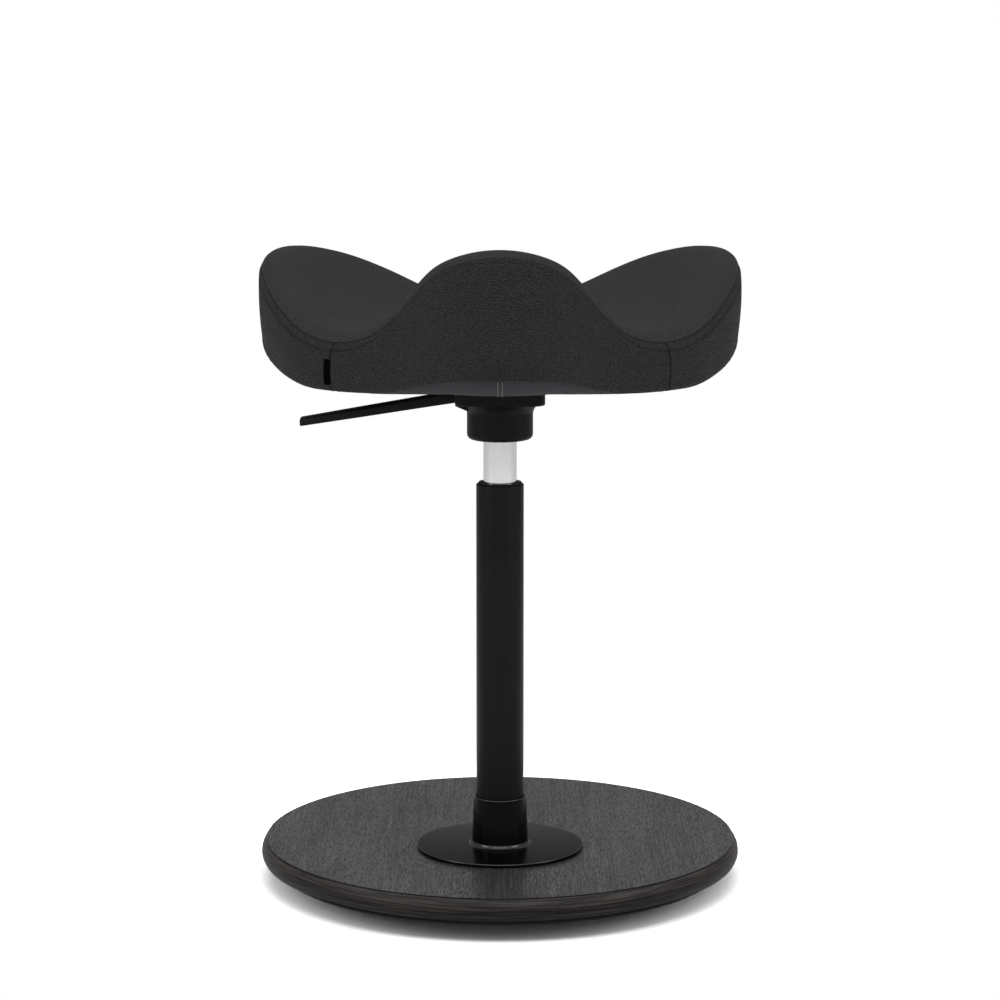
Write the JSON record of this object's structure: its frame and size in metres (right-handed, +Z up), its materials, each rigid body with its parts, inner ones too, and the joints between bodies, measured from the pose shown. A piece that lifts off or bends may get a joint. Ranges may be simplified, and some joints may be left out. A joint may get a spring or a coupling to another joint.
{
  "type": "sit-stand stool",
  "caption": "Sit-stand stool with a padded saddle seat of lobes with raised edges, a height-adjustable gas column, a release lever under the seat and a round rocking base.",
  "frame": {"origin": "middle of the round base on the floor", "axes": "+Z up, -Y the front lobe of the seat, -X the side with the release lever"},
  "size_m": [0.515, 0.515, 0.6978],
  "materials": {
    "black_stained_ash": "black stained ash veneer, satin lacquer, plywood edge",
    "black_rubber": "matte",
    "black_powder_coat": "black powder coat, satin",
    "black_plastic": "fine texture",
    "satin_chrome": "satin chrome",
    "zinc_steel": "zinc plated",
    "black_leather": "pebbled, semi-matte",
    "dark_lining_cloth": "close weave, bluish grey",
    "beech_plywood": "raw moulded plywood",
    "cushion_foam": "open-cell foam",
    "black_ribbon": "woven, bare"
  },
  "bodies": {
    "base": {"base_board": "black_stained_ash", "base_tread": "black_rubber", "foot_socket": "black_powder_coat", "base_screw_1": "zinc_steel", "base_screw_2": "zinc_steel", "base_screw_3": "zinc_steel", "base_screw_4": "zinc_steel", "column_tube": "black_powder_coat", "guide_bush": "black_plastic", "tube_base_plate": "zinc_steel", "bearing_lower_race": "zinc_steel", "bearing_ball_cage": "black_plastic"},
    "spindle": {"bearing_upper_race": "zinc_steel", "piston_rod": "zinc_steel", "rod_clip": "zinc_steel", "rod_washer": "zinc_steel", "rubber_buffer": "black_rubber", "piston": "zinc_steel", "piston_seal": "black_rubber", "piston_nut": "zinc_steel"},
    "seat": {"gas_cylinder": "satin_chrome", "rod_guide": "zinc_steel", "rod_seal": "black_rubber", "valve_body": "zinc_steel", "mechanism_housing": "black_powder_coat", "lever_pin": "zinc_steel", "cover_top": "black_leather", "cover_front_band": "black_leather", "cover_rear_band": "black_leather", "underside_lining": "dark_lining_cloth", "seat_shell": "beech_plywood", "seat_foam": "cushion_foam", "seat_bolt_1": "zinc_steel", "seat_bolt_2": "zinc_steel", "seat_bolt_3": "zinc_steel", "seat_bolt_4": "zinc_steel", "tee_nut_1": "zinc_steel", "tee_nut_2": "zinc_steel", "tee_nut_3": "zinc_steel", "tee_nut_4": "zinc_steel", "seat_tag": "black_ribbon"},
    "lever": {"lever": "black_plastic"},
    "release_pin": {"release_pin": "zinc_steel"}
  },
  "joints": [
    {"name": "seat_swivel", "type": "hinge", "parent": "base", "child": "spindle", "pos_m": [0, -0.0525, 0.0353], "axis": [0, 0, 1], "continuous": true},
    {"name": "height_slide", "type": "slide", "parent": "spindle", "child": "seat", "axis": [0, 0, 1], "range_m": [-0.04, 0.22]},
    {"name": "lever_tilt", "type": "hinge", "parent": "seat", "child": "lever", "pos_m": [-0.03, -0.0525, 0.5326], "axis": [0, 1, 0], "range_deg": [0, 6], "stiffness_Nm_per_rad": 2},
    {"name": "release_pin_slide", "type": "slide", "parent": "seat", "child": "release_pin", "axis": [0, 0, -1], "range_m": [0, 0.0032]}
  ],
  "couplings": [
    {"joint": "release_pin_slide", "follows": "lever_tilt", "m_per_rad": 0.03}
  ]
}
